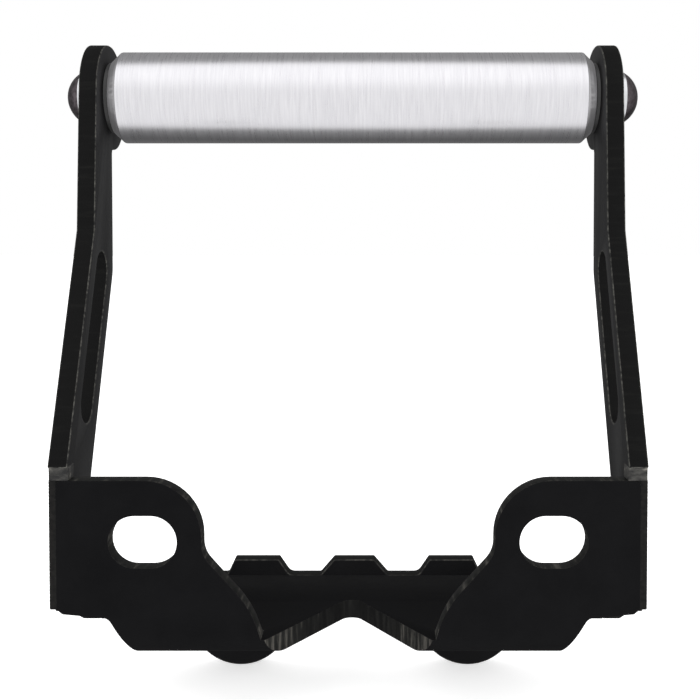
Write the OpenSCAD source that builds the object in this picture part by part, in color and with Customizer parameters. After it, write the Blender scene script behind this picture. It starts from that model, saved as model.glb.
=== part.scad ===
// Quick coupler: a plate frame with a free-turning cross bar between two arms, two slotted
// front ears that bolt to an attachment, and a pair of lugs under the back edge.
// Millimetres. X runs along the cross bar, the ears face -Y and +Z is up.
// The origin is the middle of the cross bar's axis.

/* [Frame] */
// Width over the outer faces of the two arms
frame_w = 300; // [260:5:380]
// Height of the cross bar's axis above the underside of the base
bar_h = 294; // [284:2:340]
// Distance from the cross bar's axis forward to the face of the ears
reach = 90; // [84:1:100]
// Distance from the cross bar's axis back to the front face of the lug plate
lug_plate_back = 14; // [8:1:20]

/* [Arms] */
// Thickness of the arm plates
arm_t = 10; // [6:1:14]
// Radius of the eye that the cross bar is fixed in
eye_r = 29.5; // [27:0.5:34]
// Width of the leg, square to its slope
leg_w = 44; // [40:1:50]
// Height of the knee below the cross bar's axis
knee_drop = 77; // [70:1:84]
// Width of the slot in the leg
leg_slot_w = 22; // [14:1:26]
// Length of that slot, as a percentage of the leg's length
leg_slot_share = 75; // [40:1:84]
// Height of the foot over the top of the base
foot_h = 7; // [6:1:9]

/* [Base bracket] */
// Thickness of the bent plate
base_t = 10; // [6:1:12]
// Inner radius of its bend
bend_r = 6; // [4:1:8]
// Height of the ears over the underside of the base
ear_h = 91; // [86:1:100]
// Width of the gap between the two ears
ear_gap = 147; // [138:1:150]
// Radius of each ear's upper inner corner
ear_corner_r = 29; // [12:1:30]
// Distance between the middles of the two ear slots
slot_spacing = 206; // [202:1:214]
// Distance from the top of the ears down to the middle of the ear slots
slot_drop = 31; // [24:1:36]
// Overall length of an ear slot
slot_l = 34.5; // [28:0.5:38]
// Width of an ear slot
slot_w = 26.5; // [18:0.5:28]
// Width of the vee in the base, at the face of the ears
vee_w = 86; // [70:1:96]
// Depth of the vee, to the point where its sides would meet
vee_depth = 66; // [50:1:72]
// Radius at the point of the vee
vee_r = 6.5; // [4:0.5:8]

/* [Lug plate] */
// Thickness of the lug plate
lug_t = 10; // [6:1:14]
// Distance between the middles of the two lugs
lug_spacing = 137; // [126:1:150]
// Radius of a lug
lug_r = 30; // [24:1:32]
// Distance from the underside of the base down to the lug bores
lug_drop = 14.5; // [12:0.5:22]
// Diameter of the lug bores
lug_bore_d = 25; // [20:0.5:30]
// Height of the three tabs over the base
tab_h = 9.5; // [4:0.5:14]

/* [Cross bar] */
// Diameter of the roller tube
bar_d = 52; // [46:0.5:56]
// Wall thickness of the roller tube
tube_wall = 6; // [4:0.5:7]
// Diameter of the fixed axle
axle_d = 30; // [26:0.5:32]
// Clearance on diameter between the bushings and the axle
running_clearance = 0.1; // [0.06:0.02:0.16]
// Length of the cone-shaped collar on a bushing, between tube and thrust washer
flange_t = 5.4; // [3:0.2:7]
// Drop of the collar's cone, from the tube's surface to its end
collar_drop = 5; // [2:0.5:5]
// Length of a bushing's sleeve inside the tube
bushing_l = 28; // [18:1:36]
// Thickness of the thrust washers
thrust_t = 2; // [1:0.1:2.4]
// End play on each side of a thrust washer
end_play = 0.3; // [0.1:0.05:0.4]

/* [Axle screws] */
// Thread diameter of the axle screws
screw_d = 16; // [12:1:18]
// Depth of the thread in the axle
screw_bite = 30; // [20:1:36]
// Diameter of the screw heads
head_d = 29.5; // [26:0.5:32]
// Height of a head's straight side
head_side_h = 2.8; // [2:0.2:6]
// Height of a head's dome
head_dome_h = 9; // [7:0.5:11]
// Size across the flats of the hexagon socket
socket_af = 10; // [6:1:12]
// Diameter of the screw washers
washer_d = 30; // [28:1:34]
// Thickness of the screw washers
washer_t = 3; // [2:0.5:4]

/* [Hidden] */

$fn = 96;
eps = 1;

plate_paint = "#1c1c1d";
weld_paint = "#232322";
bright_steel = "#d4d5d8";
collar_steel = "#b4b5b8";
dome_steel = "#77757a";
black_nylon = "#161616";

// Frame planes
arm_in = frame_w / 2 - arm_t;
arm_out = frame_w / 2;
base_z = -bar_h;
base_top = base_z + base_t;
ear_front = -reach;
ear_back = ear_front + base_t;
ear_top = base_z + ear_h;
lug_front = lug_plate_back;
lug_rear = lug_front + lug_t;

// Arm outline
neck_lean = 6;
knee_y = -eye_r - knee_drop * tan(neck_lean);
neck_back = 0;
neck_fillet = 3;
relief_h = 6.5;
relief_top = ear_top + relief_h;
toe_y = ear_front - 0.8;
leg_slope = atan((knee_y - toe_y) / (-relief_top - knee_drop));
leg_run = (-relief_top - knee_drop) / cos(leg_slope);
back_line_y = knee_y + leg_w / cos(leg_slope);
back_knee_z = -knee_drop - (back_line_y - neck_back) / tan(leg_slope);
heel_z = ear_top - 8;
heel_y = neck_back + (heel_z - back_knee_z) * tan(leg_slope);
foot_top = base_top + foot_h;
foot_front = -31;
ear_floor = 21.5;
arm_floor = base_z + ear_floor;
shin_floor_y = ear_back + 8;

// Ear outline
ear_x = ear_gap / 2;
ear_edge_weld = 3.8;
ear_out = arm_out - ear_edge_weld;
vee_x = vee_w / 2;
ramp_top = ear_top - ear_corner_r - 8.5;
ramp_foot = base_z + 0.215 * ear_h;
ramp_angle = atan((ear_x - vee_x) / (ramp_top - ramp_foot));
ramp_r = (ramp_foot - base_z) / tan(ramp_angle / 2);
ear_blend_r = 14;
ear_top_out_r = 3;
corner_cope = 3;
cope_x = arm_in - 33.5;
cope_top_x = arm_in - 19.5;
slot_z = ear_top - slot_drop;

// Base flange
wing_front = foot_front;
wing_r = 8;

// Lug plate outline
web_drop = 8;
web_z = base_z - web_drop;
tab_top = base_top + tab_h;
mid_tab_top = 12;
mid_tab_foot = 20.3;
side_tab_in_foot = 38.9;
side_tab_in_top = 45.4;
side_tab_out_top = 72;
side_tab_out_foot = 76.5;

// Cross bar stations along X, from the middle outwards
bar_bore = bar_d - 2 * tube_wall;
thrust_d = bar_d - 2 * collar_drop - 2;
thrust_x = arm_in - end_play - thrust_t;
flange_out = thrust_x - end_play;
tube_half = flange_out - flange_t;
axle_fit_d = axle_d + running_clearance;
screw_gap = 1;
tap_extra = 6;
socket_depth = 6;
head_x = arm_out + washer_t;

// Weld sizes
bead = 6;
weld_in = (lug_spacing / 2 - lug_r) - 3;
weld_out = (lug_spacing / 2 + lug_r) + 4;

// Outlines: each corner is [across, up, radius], and comes back as the points of its arc
arc_step = 6;
function unit(v) = v / norm(v);
function corner_arc(a, b, c, r) =
    let (
        u = unit([a[0] - b[0], a[1] - b[1]]),
        w = unit([c[0] - b[0], c[1] - b[1]]),
        half = acos(max(-1, min(1, u * w))) / 2,
        reach_in = r / tan(half),
        mid = [b[0], b[1]] + unit(u + w) * r / sin(half),
        from = [b[0], b[1]] + u * reach_in - mid,
        to = [b[0], b[1]] + w * reach_in - mid,
        start = atan2(from[1], from[0]),
        raw = atan2(to[1], to[0]) - start,
        turn = raw > 180 ? raw - 360 : raw < -180 ? raw + 360 : raw,
        steps = max(2, ceil(abs(turn) / arc_step))
    )
    [for (i = [0:steps]) mid + r * [cos(start + turn * i / steps), sin(start + turn * i / steps)]];
function rounded(p) = [
    for (i = [0:len(p) - 1])
        let (a = p[(i + len(p) - 1) % len(p)], b = p[i], c = p[(i + 1) % len(p)])
        each (b[2] > 0 ? corner_arc(a, b, c, b[2]) : [[b[0], b[1]]])
];
function flipped(p) = [for (i = [len(p) - 1:-1:0]) [-p[i][0], p[i][1], p[i][2]]];

// An outline drawn in Y and Z, made into a plate that grows along +X
module side_plate(t) {
    rotate([90, 0, 90]) linear_extrude(t) children();
}

// An outline drawn in X and Z, made into a plate that grows along +Y
module face_plate(t) {
    translate([0, t, 0]) rotate([90, 0, 0]) linear_extrude(t) children();
}

module both_sides() {
    children();
    mirror([1, 0, 0]) children();
}

// A round bar along X, from x to x + l
module x_bar(x, l, d) {
    translate([x, 0, 0]) rotate([0, 90, 0]) cylinder(h = l, d = d);
}

// A quarter-round weld bead along +Z, in the corner between +X and +Y
module corner_bead(l, r) {
    linear_extrude(l) polygon([[0, 0], for (a = [0:10:90]) r * [cos(a), sin(a)]]);
}

arm_outline = [
    [-eye_r, eye_r, eye_r],
    [eye_r, eye_r, eye_r],
    [eye_r, -eye_r, eye_r - neck_back - neck_fillet - 0.5],
    [neck_back, -eye_r, neck_fillet],
    [neck_back, back_knee_z, 12],
    [heel_y, heel_z, 14],
    [heel_y, foot_top, 14],
    [lug_rear, foot_top, 3],
    [lug_rear, base_z, 0],
    [foot_front, base_z, 4],
    [shin_floor_y, arm_floor, 4],
    [ear_back, arm_floor, 0],
    [ear_back, relief_top, 0],
    [toe_y, relief_top, 0],
    [knee_y, -knee_drop, 3]
];

// Slot in the leg, along its slope and midway across its width
leg_slot_start = leg_slot_w / 2 + 4;
slot_run = leg_run * leg_slot_share / 100 - leg_slot_w;
module leg_slot() {
    translate([knee_y, -knee_drop]) rotate(-leg_slope) translate([leg_w / 2, -leg_slot_start]) {
        circle(d = leg_slot_w);
        translate([0, -slot_run]) circle(d = leg_slot_w);
        translate([-leg_slot_w / 2, -slot_run]) square([leg_slot_w, slot_run]);
    }
}

module right_arm_plate() {
    difference() {
        translate([arm_in, 0, 0]) side_plate(arm_t) difference() {
            polygon(rounded(arm_outline));
            leg_slot();
        }
        x_bar(arm_in - eps, arm_t + 2 * eps, screw_d + screw_gap);
    }
}

module left_arm() {
    color(plate_paint) mirror([1, 0, 0]) right_arm_plate();
}

module right_arm() {
    color(plate_paint) right_arm_plate();
}

// Bent plate seen from the side: the ears' upright, the bend and the flat base
bent_outline = [
    [ear_front, ear_top + eps, 0],
    [ear_front, base_z, bend_r + base_t],
    [lug_front, base_z, 0],
    [lug_front, base_top, 0],
    [ear_back, base_top, bend_r],
    [ear_back, ear_top + eps, 0]
];

ear_outline = [
    [vee_x, base_z - eps, 0],
    [vee_x, ramp_foot, ramp_r],
    [ear_x, ramp_top, ear_blend_r],
    [ear_x, ear_top, ear_corner_r],
    [ear_out, ear_top, ear_top_out_r],
    [ear_out, arm_floor + 1.5 * corner_cope, 0],
    [ear_out - corner_cope, arm_floor + 0.7 * corner_cope, 0],
    [cope_top_x, arm_floor, 5],
    [cope_x, base_z - eps, 0]
];

module ear_slot() {
    translate([slot_spacing / 2, slot_z]) {
        for (s = [-1, 1]) translate([s * (slot_l - slot_w) / 2, 0]) circle(d = slot_w);
        square([slot_l - slot_w, slot_w], center = true);
    }
}

// Plan of the base's right half: full width behind the free corner under each ear
base_half = [
    [cope_x, ear_front, 0],
    [cope_x, wing_front, wing_r],
    [arm_in, wing_front, 0],
    [arm_in, lug_front, 0]
];

// Plan of the vee, pointing back from the face of the ears
vee_outline = [
    [-vee_x * (1 + eps / vee_depth), -eps, 0],
    [vee_x * (1 + eps / vee_depth), -eps, 0],
    [0, vee_depth, vee_r]
];

module base_bracket() {
    color(plate_paint) difference() {
        intersection() {
            translate([-arm_in, 0, 0]) side_plate(2 * arm_in) polygon(rounded(bent_outline));
            union() {
                translate([0, ear_front - eps, 0]) both_sides() face_plate(base_t + bend_r + 2 * eps)
                    polygon(rounded(ear_outline));
                translate([0, 0, base_z]) linear_extrude(base_t)
                    polygon(rounded(concat(base_half, flipped(base_half))));
            }
        }
        translate([0, ear_front, base_z - eps]) linear_extrude(ear_h) polygon(rounded(vee_outline));
        translate([0, ear_front - eps, 0]) both_sides() face_plate(base_t + 2 * eps) ear_slot();
    }
    color(plate_paint) both_sides() ear_tip();
}

// The part of an ear that stands in front of the arm's edge
module ear_tip() {
    intersection() {
        translate([0, ear_front, 0]) face_plate(base_t) polygon(rounded(ear_outline));
        translate([arm_in, ear_front, base_z]) cube([arm_t, base_t, ear_h]);
    }
}

lug_half = [
    [mid_tab_top, tab_top, 1],
    [mid_tab_foot, base_top, 1.5],
    [side_tab_in_foot, base_top, 5],
    [side_tab_in_top, tab_top, 1],
    [side_tab_out_top, tab_top, 1],
    [side_tab_out_foot, base_top, 2],
    [arm_in, base_top, 0],
    [arm_in, web_z, 0],
    [lug_spacing / 2 + lug_r, web_z, 5],
    [lug_spacing / 2 + lug_r, base_z - lug_drop - lug_r, lug_r],
    [lug_spacing / 2 - lug_r, base_z - lug_drop - lug_r, lug_r],
    [lug_spacing / 2 - lug_r, web_z, 5]
];

module lug_plate() {
    color(plate_paint) difference() {
        translate([0, lug_front, 0]) face_plate(lug_t)
            polygon(rounded(concat(lug_half, flipped(lug_half))));
        both_sides() translate([lug_spacing / 2, lug_front - eps, base_z - lug_drop])
            rotate([-90, 0, 0]) cylinder(h = lug_t + 2 * eps, d = lug_bore_d);
    }
}

module roller_tube() {
    color(bright_steel) difference() {
        x_bar(-tube_half, 2 * tube_half, bar_d);
        x_bar(-tube_half - eps, 2 * tube_half + 2 * eps, bar_bore);
    }
}

// Flanged bushing: its sleeve presses into the tube, and its cone closes the tube's end
module right_bushing_body() {
    rotate([0, 90, 0]) rotate_extrude() {
        translate([axle_fit_d / 2, tube_half - bushing_l])
            square([(bar_bore - axle_fit_d) / 2, bushing_l]);
        polygon([
            [axle_fit_d / 2, tube_half],
            [bar_d / 2, tube_half],
            [bar_d / 2 - collar_drop, flange_out],
            [axle_fit_d / 2, flange_out]
        ]);
    }
}

module left_bushing() {
    color(collar_steel) mirror([1, 0, 0]) right_bushing_body();
}

module right_bushing() {
    color(collar_steel) right_bushing_body();
}

// Axle: clamped end to end between the arms, and tapped for the screws
module axle_bar() {
    color(dome_steel) difference() {
        x_bar(-arm_in, 2 * arm_in, axle_d);
        both_sides() x_bar(arm_in - screw_bite - tap_extra, screw_bite + tap_extra + eps, screw_d);
    }
}

module right_thrust_ring() {
    difference() {
        x_bar(thrust_x, thrust_t, thrust_d);
        x_bar(thrust_x - eps, thrust_t + 2 * eps, axle_fit_d);
    }
}

module left_thrust_washer() {
    color(black_nylon) mirror([1, 0, 0]) right_thrust_ring();
}

module right_thrust_washer() {
    color(black_nylon) right_thrust_ring();
}

// Button-head screw: shank, straight-sided head, domed top and hexagon socket
dome_r = (head_d * head_d / 4 + head_dome_h * head_dome_h) / (2 * head_dome_h);
module right_screw_body() {
    difference() {
        union() {
            x_bar(arm_in - screw_bite, screw_bite + arm_t + washer_t, screw_d);
            x_bar(head_x, head_side_h, head_d);
            intersection() {
                x_bar(head_x + head_side_h, head_dome_h, head_d);
                translate([head_x + head_side_h + head_dome_h - dome_r, 0, 0])
                    rotate([0, 90, 0]) sphere(r = dome_r);
            }
        }
        translate([head_x + head_side_h + head_dome_h - socket_depth, 0, 0]) rotate([0, 90, 0])
            cylinder(h = socket_depth + eps, d = socket_af / cos(30), $fn = 6);
    }
}

module left_axle_screw() {
    color(dome_steel) mirror([1, 0, 0]) right_screw_body();
}

module right_axle_screw() {
    color(dome_steel) right_screw_body();
}

module right_washer_ring() {
    difference() {
        x_bar(arm_out, washer_t, washer_d);
        x_bar(arm_out - eps, washer_t + 2 * eps, screw_d + screw_gap);
    }
}

module left_screw_washer() {
    color(bright_steel) mirror([1, 0, 0]) right_washer_ring();
}

module right_screw_washer() {
    color(bright_steel) right_washer_ring();
}

// Corner weld: fills the edge beside the ear flush, then the arm's relief over the ear's top
module right_corner_bead() {
    translate([0, 0, arm_floor + 1.5 * corner_cope])
        linear_extrude(ear_top - arm_floor - 1.5 * corner_cope) polygon([
            [ear_out, ear_front],
            [arm_out - 0.8, ear_front],
            [arm_out - 0.1, ear_front + 0.8],
            [arm_out - 0.1, ear_back],
            [ear_out, ear_back]
        ]);
    translate([arm_in, 0, 0]) side_plate(arm_t - 0.4) polygon([
        [ear_back, ear_top],
        [ear_front + 0.3, ear_top],
        [ear_front + 0.5, ear_top + relief_h / 2],
        [toe_y + 1.1, relief_top],
        [ear_back, relief_top]
    ]);
}

module left_corner_weld() {
    color(weld_paint) mirror([1, 0, 0]) right_corner_bead();
}

module right_corner_weld() {
    color(weld_paint) right_corner_bead();
}

// Ear weld: fillet between the back of the ear and the inner face of the arm
module right_ear_bead() {
    translate([arm_in, ear_back, arm_floor + 2]) rotate(90) corner_bead(ear_h - ear_floor - 4, bead);
}

module left_ear_weld() {
    color(weld_paint) mirror([1, 0, 0]) right_ear_bead();
}

module right_ear_weld() {
    color(weld_paint) right_ear_bead();
}

// Foot weld: fillet between the top of the base and the inner face of the arm's foot
module right_foot_bead() {
    translate([arm_in, lug_rear - 1, base_top]) rotate([90, 0, 0]) rotate(90)
        corner_bead(lug_rear - wing_front - 3, bead);
}

module left_foot_weld() {
    color(weld_paint) mirror([1, 0, 0]) right_foot_bead();
}

module right_foot_weld() {
    color(weld_paint) right_foot_bead();
}

// Lug plate weld: fillets between the underside of the base and the front of the lug plate,
// one run between the lugs and one outside each lug
module underside_bead(x, l) {
    translate([x, lug_front, base_z]) rotate([0, 90, 0]) mirror([0, 1, 0]) corner_bead(l, bead);
}
module lug_plate_weld() {
    color(weld_paint) {
        underside_bead(-weld_in, 2 * weld_in);
        both_sides() underside_bead(weld_out, arm_in - 2 - weld_out);
    }
}

left_arm();
right_arm();
base_bracket();
lug_plate();
roller_tube();
left_bushing();
right_bushing();
axle_bar();
left_thrust_washer();
right_thrust_washer();
left_axle_screw();
right_axle_screw();
left_screw_washer();
right_screw_washer();
left_corner_weld();
right_corner_weld();
left_ear_weld();
right_ear_weld();
left_foot_weld();
right_foot_weld();
lug_plate_weld();
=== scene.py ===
# %% [markdown]
# # A quick coupler in Blender
# A quick coupler is the steel frame that joins a machine's hooks to a tool: two plate arms
# carry a turning bar for the hooks, and two slotted ears below bolt to the tool. The exact
# solids come from the CAD frame, so no shape is modelled again. This lesson adds what a solid
# lacks: broken edges, weld ripples, coats of paint and turned steel.

# %% Open the frame
import math

import bmesh
import bpy
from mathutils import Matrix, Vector


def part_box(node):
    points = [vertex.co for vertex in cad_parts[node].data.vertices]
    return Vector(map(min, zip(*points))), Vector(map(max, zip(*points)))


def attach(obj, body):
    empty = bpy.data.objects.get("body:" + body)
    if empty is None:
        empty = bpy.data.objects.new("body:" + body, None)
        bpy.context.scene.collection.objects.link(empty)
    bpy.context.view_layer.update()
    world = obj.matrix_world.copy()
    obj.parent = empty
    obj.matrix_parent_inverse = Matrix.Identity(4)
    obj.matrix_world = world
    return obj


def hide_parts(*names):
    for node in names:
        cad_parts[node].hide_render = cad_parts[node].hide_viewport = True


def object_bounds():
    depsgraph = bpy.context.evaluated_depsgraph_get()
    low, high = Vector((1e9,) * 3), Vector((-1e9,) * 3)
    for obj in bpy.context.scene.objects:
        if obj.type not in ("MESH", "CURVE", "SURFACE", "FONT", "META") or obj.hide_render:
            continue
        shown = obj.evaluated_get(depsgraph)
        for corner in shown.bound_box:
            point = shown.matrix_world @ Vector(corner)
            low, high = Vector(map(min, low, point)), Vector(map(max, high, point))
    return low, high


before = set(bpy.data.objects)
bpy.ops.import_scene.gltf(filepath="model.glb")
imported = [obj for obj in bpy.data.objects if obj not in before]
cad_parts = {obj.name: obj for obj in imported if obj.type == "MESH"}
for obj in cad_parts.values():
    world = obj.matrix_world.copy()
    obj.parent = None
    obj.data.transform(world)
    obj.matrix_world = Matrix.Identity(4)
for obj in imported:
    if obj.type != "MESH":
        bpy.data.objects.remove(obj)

MM = 0.001
cad_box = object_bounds()


def in_mm(box):
    """A box's two corners in rounded millimetres, for printing."""
    return [[round(c / MM, 1) for c in corner] for corner in box]


print("CAD box in mm:", in_mm(cad_box))

# %% [markdown]
# ## Helpers for finishes
# Paint charts and eyes work in sRGB, and shaders work in linear light, so one function turns
# a hex colour into the numbers that a socket takes. Nodes could be wired by hand in the
# editor, but a script can be read and run again, so a second function adds any node with its
# settings and links. Pattern sizes are given in millimetres and turned into a texture's scale.


# %% Colour and node helpers
def linear(hex_colour):
    """An sRGB hex colour as linear red, green, blue and alpha."""
    parts = [int(hex_colour[i : i + 2], 16) / 255 for i in (1, 3, 5)]
    return [p / 12.92 if p <= 0.04045 else ((p + 0.055) / 1.055) ** 2.4 for p in parts] + [1.0]


def per(size_mm):
    """The texture scale whose features are about this many millimetres across."""
    return 1 / (size_mm * MM)


def add(tree, kind, inputs=None, **settings):
    """Adds one node, gives it its settings, and links or fills its inputs."""
    node = tree.nodes.new(kind)
    for name, value in settings.items():
        setattr(node, name, value)
    for socket, source in (inputs or {}).items():
        if isinstance(source, bpy.types.NodeSocket):
            tree.links.new(source, node.inputs[socket])
        else:
            node.inputs[socket].default_value = source
    return node


print("black coat as linear light:", [round(c, 4) for c in linear("#1b1b1c")])
print("texture scale for a 1 mm grain:", round(per(1.0)))

# %% [markdown]
# ## One recipe for every metal and coat
# All the finishes here share one build: a broad pattern shades the colour and the gloss, and a
# fine grain gives the relief. A picture wrapped round the steel would stretch at its corners,
# while noise in the piece's own coordinates runs on through them. `stretch` shrinks a
# coordinate, which draws the pattern out along that axis: this is how cutting lines and turning
# marks are made. `light_ramp` makes the colour lighter at one end of an axis and darker at the
# other: painted light and shade.

# %% Build a finish
NOISE_LOW, NOISE_HIGH = 0.3, 0.7  # nearly all values of a noise texture lie between these


def finish(
    name, stops, rough, patch_mm, grain_mm, relief_mm, stretch=(1, 1, 1), light_ramp=None, **shader
):
    """A material from a broad colour pattern, a gloss range and a fine relief."""
    material = bpy.data.materials.new(name)
    material.use_nodes = True
    tree = material.node_tree
    principled = tree.nodes["Principled BSDF"]
    for socket, value in shader.items():
        principled.inputs[socket.replace("_", " ")].default_value = value
    place = add(tree, "ShaderNodeTexCoord").outputs["Object"]
    drawn = add(tree, "ShaderNodeMapping", {"Vector": place, "Scale": stretch}).outputs[0]
    patch = add(
        tree, "ShaderNodeTexNoise",
        {"Vector": drawn, "Scale": per(patch_mm), "Detail": 6.0, "Roughness": 0.62},
    ).outputs[0]
    grain = add(
        tree, "ShaderNodeTexNoise",
        {"Vector": drawn, "Scale": per(grain_mm), "Detail": 3.0, "Roughness": 0.6},
    ).outputs[0]
    gloss = add(
        tree, "ShaderNodeMapRange",
        {0: patch, "From Min": NOISE_LOW, "From Max": NOISE_HIGH,
         "To Min": rough[0], "To Max": rough[1]},
    ).outputs[0]
    bump = add(
        tree, "ShaderNodeBump", {"Height": grain, "Strength": 1.0, "Distance": relief_mm * MM}
    ).outputs[0]
    shade = patch
    # Painted light and shade: the colour is lifted at the ramp's start and lowered at its end.
    if light_ramp:
        axis, from_mm, to_mm, amount = light_ramp
        along = add(tree, "ShaderNodeSeparateXYZ", {0: place}).outputs[axis]
        fade = add(
            tree, "ShaderNodeMapRange",
            {0: along, "From Min": from_mm * MM, "From Max": to_mm * MM,
             "To Min": amount, "To Max": -amount},
        ).outputs[0]
        shade = add(tree, "ShaderNodeMath", {0: patch, 1: fade}, operation="ADD").outputs[0]
    colour = add(tree, "ShaderNodeValToRGB", {0: shade})
    elements = colour.color_ramp.elements
    while len(elements) < len(stops):
        elements.new(0.5)
    for element, (position, hex_colour) in zip(elements, stops):
        element.position, element.color = position, linear(hex_colour)
    tree.links.new(colour.outputs[0], principled.inputs["Base Color"])
    tree.links.new(gloss, principled.inputs["Roughness"])
    tree.links.new(bump, principled.inputs["Normal"])
    print("made", name)
    return material


# %% [markdown]
# ## Black coat on rolled plate
# The plates are hot-rolled steel under a satin black coat. Rolled plate is never quite flat, so
# the gloss drifts over a hand's breadth, and the coat has a fine skin like leather. One flat
# colour would look like plastic, so two near blacks are mixed. A black coat reflects little,
# which the low specular level says. The coat is the same on every plate, and its shades per
# plate are painted light: the arms' flat sides are painted lighter and shine more, as if better
# lit, the lug plate below, which sits in shade, is painted lighter still, and the bracket is
# darkest.

# %% The plates' coats
# Each coat: its darker and lighter shade, painted lighter or darker per plate as painted light,
# its specular level and its index of refraction.
COATS_PAINTED_LIGHT = {
    "bracket": ("#0c0c0d", "#101011", 0.05, 1.3),
    "arm": ("#0e0e0f", "#131314", 0.34, 1.5),
    "lug": ("#121213", "#171718", 0.05, 1.3),
}
# A real coat's skin is about 0.3 mm from bump to bump, too fine to show, so it is drawn coarser.
SKIN_MM = 1.1
plate_coats = {
    part: finish(
        f"satin_black_coat_painted_light_{part}", [(NOISE_LOW, dark), (NOISE_HIGH, light)],
        rough=(0.46, 0.58), patch_mm=26, grain_mm=SKIN_MM, relief_mm=0.015,
        Specular_IOR_Level=level, IOR=index,
    )
    for part, (dark, light, level, index) in COATS_PAINTED_LIGHT.items()
}

# %% [markdown]
# ## Cut edges
# A torch or plasma cutter leaves drag lines through the plate's thickness, about a millimetre
# apart, and the coat is thin and dusty there. Grooves in the mesh would need a vertex every
# few tenths, so the lines are drawn by the material. They always run through the thickness, so
# each direction of thickness has a material with its own stretch. The cut edges are one finish,
# and their shades per part are painted light: darkest on the arms' edges, paler on the lug plate
# and the ears, and palest on the vee in the base, where a ramp paints highlights near its front
# ends and shade towards its apex.

# %% The cut edges' coats
CUT_STRIPE_MM = 1.2
CUT_STRETCH = 0.1
CUT_STOPS = (0.34, 0.55, 0.74)
# Each cut: the axis of the thickness, its three shades, set per part as painted light, and its
# light ramp, which paints highlight and shade along one axis.
CUTS_PAINTED_LIGHT = {
    "arm": (0, ("#060606", "#090909", "#121211"), None),
    "ear": (1, ("#0b0b0b", "#1a1a19", "#464440"), None),
    "lug": (1, ("#0c0c0b", "#131312", "#211f1d"), None),
    "vee": (2, ("#0a0a0a", "#191918", "#474541"), ("Y", -89, -45, 0.13)),
}
cut_coats = {}
for part, (axis, shades, light_ramp) in CUTS_PAINTED_LIGHT.items():
    stretch = [1.0, 1.0, 1.0]
    stretch[axis] = CUT_STRETCH
    cut_coats[part] = finish(
        f"cut_edge_coat_painted_light_{part}", list(zip(CUT_STOPS, shades)),
        rough=(0.5, 0.7), patch_mm=CUT_STRIPE_MM * 2.2, grain_mm=CUT_STRIPE_MM, relief_mm=0.06,
        stretch=stretch, light_ramp=light_ramp, Specular_IOR_Level=0.08,
    )

# %% [markdown]
# ## Rubbed corners, painted highlights and weld coat
# A coat runs thin over a sharp corner and handling rubs it, so every broken edge gets its own,
# lighter coat, whose light shade is also a painted highlight along the corners. A wear mask
# could find the corners by their curvature, but the bevels are faces of their own, and giving
# them a material is simpler and is sure to export. The weld beads have the same black as the
# plates, over a rougher surface, and where a bead fills the notch over an ear its top gets a
# pale coat that is a painted highlight.

# %% The rubbed corners' coat with its painted highlight, and the welds' coats
rubbed_highlight_coat = finish(
    "rubbed_corner_highlight_coat",
    [(0.4, "#141414"), (0.7, "#4c4b47")],
    rough=(0.38, 0.55), patch_mm=2.5, grain_mm=0.8, relief_mm=0.03,
    Specular_IOR_Level=0.15,
)
weld_coat = finish(
    "coated_weld_bead",
    [(0.35, "#090909"), (0.7, "#171615")],
    rough=(0.42, 0.6), patch_mm=2.2, grain_mm=0.7, relief_mm=0.06,
    Specular_IOR_Level=0.1,
)
# The top of a corner bead over its ear: a pale coat that is a painted highlight.
weld_highlight_coat = finish(
    "weld_bead_painted_highlight",
    [(0.42, "#121212"), (0.6, "#3b3a37"), (0.72, "#858179")],
    rough=(0.36, 0.52), patch_mm=4.0, grain_mm=0.9, relief_mm=0.05,
    stretch=(0.4, 1.0, 1.0), Specular_IOR_Level=0.3,
)

# %% [markdown]
# ## Turned steel
# The bar is turned on a lathe and polished: every mark runs round it. The anisotropic setting
# could blur the gloss along the marks, but drawn marks also show close up. Shrinking Y and Z to
# almost nothing leaves a pattern that changes along X alone, which gives rings. The collars
# are turned more coarsely, so they are duller, and the washers are flat zinc-plated rings.

# %% The bar's, collars' and washers' steel
RINGS = (1.0, 0.05, 0.05)
# Real turning marks are about 0.1 mm apart, too fine to show, so they are drawn ten times wider.
bar_steel = finish(
    "turned_bright_steel",
    [(NOISE_LOW, "#cdccd0"), (NOISE_HIGH, "#dfdee1")],
    rough=(0.26, 0.32), patch_mm=1.1, grain_mm=0.7, relief_mm=0.004,
    stretch=RINGS, Metallic=1.0,
)
collar_steel = finish(
    "turned_dull_steel",
    [(NOISE_LOW, "#989799"), (NOISE_HIGH, "#b6b5b7")],
    rough=(0.34, 0.44), patch_mm=1.4, grain_mm=0.7, relief_mm=0.01,
    stretch=RINGS, Metallic=1.0,
)
washer_zinc = finish(
    "zinc_plated_steel",
    [(NOISE_LOW, "#c9cacc"), (NOISE_HIGH, "#dcdddf")],
    rough=(0.24, 0.36), patch_mm=4.0, grain_mm=0.6, relief_mm=0.008,
    Metallic=1.0,
)

# %% [markdown]
# ## Screw heads, axle and thrust washers
# The screws' domes get a dull, patchy brownish grey that is a painted shade, and the turned sides
# of their heads get the washers' bright zinc as a painted highlight.
# The axle inside is plain drawn bar, so its marks run along X, and the thrust washers are black
# nylon with a slight sheen. The last two hardly show, but a turned view or an exported model
# may look at them.

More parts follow.
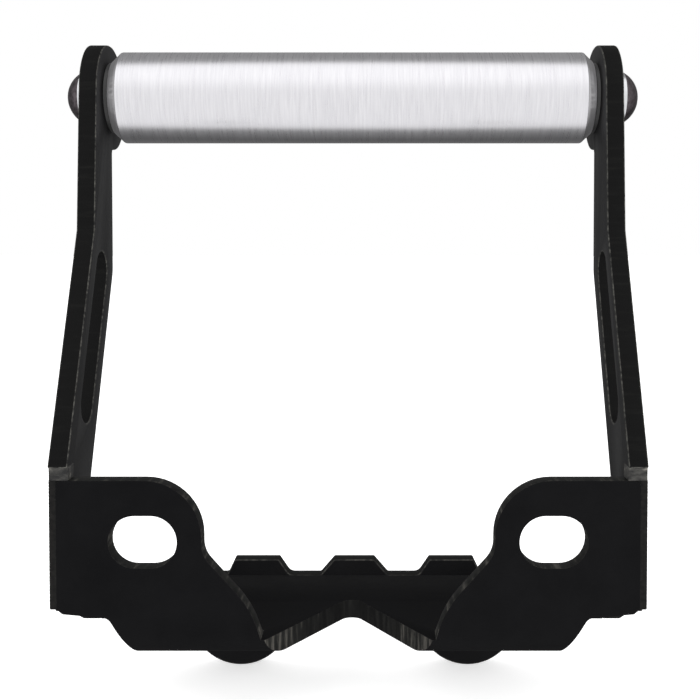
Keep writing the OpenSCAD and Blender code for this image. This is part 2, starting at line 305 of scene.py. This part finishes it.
# %% The remaining finishes
# The domes' dull grey is a painted shade.
screw_dome_shade = finish(
    "screw_dome_painted_shade",
    [(NOISE_LOW, "#3a3537"), (NOISE_HIGH, "#6d666a")],
    rough=(0.34, 0.5), patch_mm=2.4, grain_mm=0.6, relief_mm=0.04,
    Metallic=1.0,
)
axle_drawn = finish(
    "drawn_steel_bar",
    [(NOISE_LOW, "#86878a"), (NOISE_HIGH, "#9b9c9f")],
    rough=(0.3, 0.4), patch_mm=6.0, grain_mm=0.8, relief_mm=0.01,
    stretch=(0.03, 1.0, 1.0), Metallic=1.0,
)
nylon = finish(
    "black_nylon",
    [(NOISE_LOW, "#101010"), (NOISE_HIGH, "#171717")],
    rough=(0.42, 0.52), patch_mm=3.0, grain_mm=0.5, relief_mm=0.01,
    IOR=1.53,
)

# %% [markdown]
# ## Copies with broken edges
# Real plate has no razor edge: cutting, grinding and paint round it by half a millimetre, and
# that thin round is what catches the light. A Bevel modifier could round the edges, but the
# operator also hands the new faces their own coat. A CAD mesh may not be changed, so each node
# is copied, its loose triangles are merged, flat triangles are joined into faces, and the sharp
# edges get a two-step bevel. The copy then stands for its node.

# %% Copy a node into a bmesh
MERGE_MM = 0.004
FLAT, SHARP = math.radians(0.4), math.radians(28)


def node_bmesh(node):
    """A CAD node's mesh as a merged bmesh with its flat triangles joined."""
    bm = bmesh.new()
    bm.from_mesh(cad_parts[node].data)
    bmesh.ops.remove_doubles(bm, verts=bm.verts, dist=MERGE_MM * MM)
    bmesh.ops.dissolve_limit(
        bm, angle_limit=FLAT, verts=bm.verts, edges=bm.edges, delimit={"NORMAL"}
    )
    return bm


def break_edges(bm, width_mm, material):
    """Bevels every edge where two faces meet at a clear angle; -1 keeps the faces' material."""
    sharp = [e for e in bm.edges if e.is_manifold and e.calc_face_angle(0.0) > SHARP]
    bmesh.ops.bevel(
        bm, geom=sharp, offset=width_mm * MM, offset_type="OFFSET", affect="EDGES",
        segments=2, profile=0.5, material=material, clamp_overlap=True,
    )


print("edges count as sharp from", round(math.degrees(SHARP)), "degrees")


# %% Show a bmesh in place of its node
def stand_in(bm, node, body, materials):
    """Turns a bmesh into the piece that is shown in place of a CAD node."""
    for face in bm.faces:
        face.smooth = True
    for edge in bm.edges:
        edge.smooth = not edge.is_manifold or edge.calc_face_angle(0.0) < SHARP
    mesh = bpy.data.meshes.new(node + "_look")
    bm.to_mesh(mesh)
    bm.free()
    for material in materials:
        mesh.materials.append(material)
    piece = bpy.data.objects.new(node + "_look", mesh)
    bpy.context.scene.collection.objects.link(piece)
    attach(piece, body)
    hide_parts(node)
    print(f"{piece.name}: {len(mesh.polygons)} faces")
    return piece


# %% [markdown]
# ## Which faces are rolled and which are cut
# On an arm, faces that look along X are rolled plate and all others are cut. On the lug plate
# the rolled faces look along Y. The bracket is bent, so its rolled faces are those that look
# neither left nor right and lie on the skin of the bend: the ears' front and back, the base's
# top and bottom, and the two arcs between them. Faces could be picked by hand, but a rule
# still holds when the CAD changes a size.

# %% Sort the bracket's faces
BEND_IN, PLATE = 6 * MM, 10 * MM
LEVEL, SQUARE = 0.02, 0.99  # how near to 0 and to 1 a normal's part counts as level and square
bracket_low, bracket_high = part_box("base_bracket")
FRONT, UNDER = bracket_low.y, bracket_low.z
bend_y, bend_z = FRONT + PLATE + BEND_IN, UNDER + PLATE + BEND_IN


def bracket_face(face):
    """0 for a rolled face, or the number of the cut coat for a cut one."""
    normal, centre = face.normal, face.calc_center_median()
    if abs(normal.x) < LEVEL:
        if centre.y < bend_y + MM and centre.z < bend_z + MM:
            return 0
        for across, place, skin in ((normal.y, centre.y, FRONT), (normal.z, centre.z, UNDER)):
            off = min(abs(place - skin), abs(place - skin - PLATE))
            if abs(across) > SQUARE and off < 0.1 * MM:
                return 0
    return 1 if centre.z > bend_z else 2


print("the bend ends", [round(c / MM, 1) for c in (bend_y, bend_z)], "mm from the bar's axis")

# %% Break the edges of the four plates
PLATE_EDGE_MM = 0.6


def plate_piece(node, materials, face_kind):
    """A plate with its faces sorted and its edges broken; the last material is the corners'."""
    bm = node_bmesh(node)
    for face in bm.faces:
        face.material_index = face_kind(face)
    break_edges(bm, PLATE_EDGE_MM, len(materials) - 1)
    piece = stand_in(bm, node, "coupler_frame", materials)
    piece.visible_glossy = False  # the bar mirrors the white room alone


for node in ("left_arm", "right_arm"):
    plate_piece(
        node, [plate_coats["arm"], cut_coats["arm"], rubbed_highlight_coat],
        lambda face: int(abs(face.normal.x) < 0.9),
    )
plate_piece(
    "lug_plate", [plate_coats["lug"], cut_coats["lug"], rubbed_highlight_coat],
    lambda face: int(abs(face.normal.y) < 0.9),
)
plate_piece(
    "base_bracket",
    [plate_coats["bracket"], cut_coats["ear"], cut_coats["vee"], rubbed_highlight_coat], bracket_face,
)

# %% [markdown]
# ## Turned and stamped parts
# The tube, its bushings with their cone-shaped collars, the washers and the screws come off
# machines that leave clean edges. They could be spun anew from a profile, but the CAD copies are
# exact and need only a light chamfer. Two chamfers that meet leave the fine dark line that
# parts the bright tube from its collars.

# %% Chamfer the round parts
HEAD_SIDE_MM = 12  # the shank and the socket lie well within this radius


def round_piece(node, body, materials, width_mm, face_kind=lambda face: 0):
    """A turned part with its sharp edges broken."""
    bm = node_bmesh(node)
    for face in bm.faces:
        face.material_index = face_kind(face)
    break_edges(bm, width_mm, -1)
    stand_in(bm, node, body, materials)


def head_side_highlight(face):
    """1 for the turned side of a screw's head, painted with bright zinc as a highlight; 0 for its
    dome, socket and shank.
    """
    centre = face.calc_center_median()
    return int(abs(face.normal.x) < 0.1 and math.hypot(centre.y, centre.z) > HEAD_SIDE_MM * MM)


round_piece("roller_tube", "roller", [bar_steel], 0.4)
round_piece("axle_bar", "coupler_frame", [axle_drawn], 0.5)
for side in ("left", "right"):
    round_piece(f"{side}_bushing", "roller", [collar_steel], 0.3)
    round_piece(f"{side}_thrust_washer", "coupler_frame", [nylon], 0.2)
    round_piece(f"{side}_screw_washer", "coupler_frame", [washer_zinc], 0.4)
    # Each head's turned side takes the washers' zinc as a painted highlight, and its dome the
    # painted shade.
    round_piece(
        f"{side}_axle_screw", "coupler_frame",
        [screw_dome_shade, washer_zinc], 0.5, head_side_highlight,
    )

# %% [markdown]
# ## Weld beads
# A weld bead freezes in ripples: each drop of the pool leaves a crescent about 1.5 mm behind the
# last. A bump could hint at them, but the outline would stay straight, so the mesh itself is
# rippled. The bead's solid is cut into thin slices along its length, and each slice is drawn in
# towards the corner line it was laid in. The middle of the face lags behind its edges, which
# bends every ripple into a crescent.

# %% Ripple a bead
RIPPLE_MM, SLICE_MM, MOST_SLICES = 1.7, 0.45, 700
SHORTEST_MM = 8  # the bead's long edges are all longer than this
CORE_MM = 0.5  # nearer to the corner line than this, nothing moves
DRAWN_IN, RIPPLED = 0.5, 0.37  # shares of the depth: the same all along, and with the ripples
LAG = 1.52  # how far the middle of the face trails, in radians of a ripple
DRIFT, DRIFT_RATE = 0.7, 0.137  # makes the ripples' spacing uneven
SWELL, SWELL_RATE = 0.35, 0.31  # makes their height uneven


def ripple(turn, angle):
    """How deep a ripple is at its turn along the bead and at an angle round the corner line."""
    lag = LAG * math.sin(2 * angle)
    wave = math.sin(turn + lag + DRIFT * math.sin(turn * DRIFT_RATE))
    return wave + SWELL * math.sin(turn * SWELL_RATE)


def bead_piece(node, along, corner, depth=0.13, keep=lambda co: True):
    """A weld bead, rippled along one axis and drawn in to its corner line where `keep` is true."""
    bm = node_bmesh(node)
    others = [i for i in range(3) if i != along]
    long_edges = [
        e for e in bm.edges
        if abs((e.verts[0].co - e.verts[1].co)[along]) > 0.98 * e.calc_length() > SHORTEST_MM * MM
        and keep((e.verts[0].co + e.verts[1].co) / 2)
    ]
    slices = max(e.calc_length() for e in long_edges) / (SLICE_MM * MM)
    bmesh.ops.subdivide_edges(
        bm, edges=long_edges, cuts=min(MOST_SLICES, int(slices)), use_grid_fill=True
    )
    low = min(vert.co[along] for vert in bm.verts)
    for vert in bm.verts:
        reach = [vert.co[i] - c for i, c in zip(others, corner)]
        if not keep(vert.co) or math.hypot(*reach) <= CORE_MM * MM:
            continue
        turn = 2 * math.pi * ((vert.co[along] - low) / (RIPPLE_MM * MM))
        wave = ripple(turn, math.atan2(abs(reach[1]), abs(reach[0]) + 1e-9))
        scale = 1 - depth * (DRAWN_IN + RIPPLED * wave)
        for i, c, r in zip(others, corner, reach):
            vert.co[i] = c + r * scale
    # Faces where `keep` is false, the top of a corner bead over its ear, take the second coat, a
    # painted highlight.
    for face in bm.faces:
        face.material_index = int(not keep(face.calc_center_median()))
    bmesh.ops.recalc_face_normals(bm, faces=bm.faces)
    stand_in(bm, node, "coupler_frame", [weld_coat, weld_highlight_coat])


# %% Lay every bead
FLUSH_DEPTH = 0.025  # the corner welds are ground nearly flush
arm_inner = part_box("right_arm")[0].x
ear_outer, ear_back = bracket_high.x, FRONT + PLATE
ear_top, base_top = bracket_high.z, UNDER + PLATE
for side, sign in (("left", -1), ("right", 1)):
    bead_piece(f"{side}_ear_weld", 2, (sign * arm_inner, ear_back))
    bead_piece(f"{side}_foot_weld", 1, (sign * arm_inner, base_top))
    bead_piece(
        f"{side}_corner_weld", 2, (sign * ear_outer, ear_back), FLUSH_DEPTH,
        keep=lambda co: co.z < ear_top + 0.1 * MM,
    )
bead_piece("lug_plate_weld", 0, (bracket_high.y, UNDER))

# %% [markdown]
# ## Floor
# The coupler stands on a pale sheet, as in a studio. A sheet that curves up behind would hide
# its own horizon, but a flat one as wide as a field is simpler, and a faint glow of its own
# keeps it as white as the room. It lies a hair below the lugs, so nothing touches it.

# %% Lay the floor
FLOOR_GAP_MM = 0.2
FLOOR_HALF_M = 30.0
floor_bm = bmesh.new()
bmesh.ops.create_grid(floor_bm, x_segments=1, y_segments=1, size=FLOOR_HALF_M)
floor_z = cad_box[0].z - FLOOR_GAP_MM * MM
bmesh.ops.translate(floor_bm, verts=floor_bm.verts, vec=(0, 0, floor_z))
floor_mesh = bpy.data.meshes.new("floor")
floor_bm.to_mesh(floor_mesh)
floor_bm.free()
floor = bpy.data.objects.new("floor", floor_mesh)
bpy.context.scene.collection.objects.link(floor)
pale = bpy.data.materials.new("pale_floor")
pale.use_nodes = True
for socket, value in {
    "Base Color": linear("#f7f7f7"), "Roughness": 0.9, "Specular IOR Level": 0.0,
    "Emission Color": linear("#ffffff"), "Emission Strength": 0.55,
}.items():
    pale.node_tree.nodes["Principled BSDF"].inputs[socket].default_value = value
floor_mesh.materials.append(pale)
floor.visible_glossy = False
print("floor at", round(floor_z / MM, 1), "mm")

# %% [markdown]
# ## Room
# Most of the light is an even white room, which a black object needs. What polished steel
# mirrors is another matter: in a room that is white all round, the bar would have no form.
# Screens could be stood up for it to mirror. Here the room itself answers mirrored rays
# differently, bright in front and grey behind, so the bar shows a broad white band between two
# darker ones, as polished bars do in a studio.

# %% Build the room
# Each glow: the axis it follows, where it starts and ends on it, and its values at both.
GLOWS = {
    "front": ("Z", 0.2, 0.65, 1.16, 1.42),
    "back_wall": ("Z", -0.6, 0.7, 0.13, 0.33),
    "over_floor": ("Z", -0.98, -0.7, 0.0, 1.0),
    "behind": ("Y", -0.06, 0.12, 0.0, 1.0),
}
BACK_FLOOR = 0.26
world = bpy.data.worlds.new("white_room")
bpy.context.scene.world = world
world.use_nodes = True
room = world.node_tree
direction = add(
    room, "ShaderNodeSeparateXYZ", {0: add(room, "ShaderNodeTexCoord").outputs["Generated"]}
)
glows = {
    name: add(
        room, "ShaderNodeMapRange",
        {0: direction.outputs[axis], "From Min": start, "From Max": end,
         "To Min": at_start, "To Max": at_end},
    ).outputs[0]
    for name, (axis, start, end, at_start, at_end) in GLOWS.items()
}
# The back wall gives way to the floor behind, then to the front, and all of it to plain white
# for every ray that isn't mirrored.
strength = glows["back_wall"]
for factor, other in (
    (glows["over_floor"], BACK_FLOOR),
    (glows["behind"], glows["front"]),
    (add(room, "ShaderNodeLightPath").outputs["Is Glossy Ray"], 1.0),
):
    strength = add(
        room, "ShaderNodeMix", {"Factor": factor, "A": other, "B": strength}, data_type="FLOAT"
    ).outputs[0]
background = room.nodes["Background"]
background.inputs["Color"].default_value = (1.0, 1.0, 1.0, 1.0)
room.links.new(strength, background.inputs["Strength"])
print("room glows:", list(glows))

# %% [markdown]
# ## Soft boxes
# Two weak, wide lamps from the front give the flat black faces a direction: without them the
# front of the ears and the sides of the arms would be one black. They could be suns, but large
# areas throw no hard shadow. Mirrored rays don't see them.


# %% Hang the soft boxes
def soft_box(name, place, size, watts):
    """A square area light that faces the middle of the coupler."""
    light = bpy.data.lights.new(name, "AREA")
    light.shape, light.size, light.energy = "SQUARE", size, watts
    box = bpy.data.objects.new(name, light)
    box.location = place
    aim = Vector((0, -0.02, -0.15)) - box.location
    box.rotation_euler = aim.to_track_quat("-Z", "Y").to_euler()
    box.visible_glossy = False
    bpy.context.scene.collection.objects.link(box)
    print(name, watts, "W")


soft_box("front_left_box", (-0.9, -1.5, 0.7), 1.1, 14)
soft_box("front_right_box", (1.0, -1.3, 0.3), 0.9, 9)

# %% [markdown]
# ## Camera
# A long lens stands low in front, level with the upper third of the arms, and looks slightly
# down. A lens can be tilted, which makes upright lines lean together, or shifted, which keeps
# them upright. Half of each is used here, so that the coupler also stays in the frame when it
# is seen from other sides.

# %% Place the camera
LENS_MM = 52.85
SHIFT_X, SHIFT_Y = -0.0471, -0.1  # shares of the frame's width
FROM_MM = (17.4, -599.4, -86.7)
PITCH_DEG = 88.2  # 90 is level
lens_camera = bpy.data.cameras.new("long_lens")
lens_camera.sensor_width = 36.0
lens_camera.lens = LENS_MM
lens_camera.shift_x, lens_camera.shift_y = SHIFT_X, SHIFT_Y
lens_camera.clip_start, lens_camera.clip_end = 0.01, 100
camera = bpy.data.objects.new("long_lens", lens_camera)
camera.location = [c * MM for c in FROM_MM]
camera.rotation_euler = (math.radians(PITCH_DEG), 0, 0)
bpy.context.scene.collection.objects.link(camera)
bpy.context.scene.camera = camera
bpy.context.scene.view_settings.view_transform = "Standard"
print("camera at", [round(c, 3) for c in camera.location])
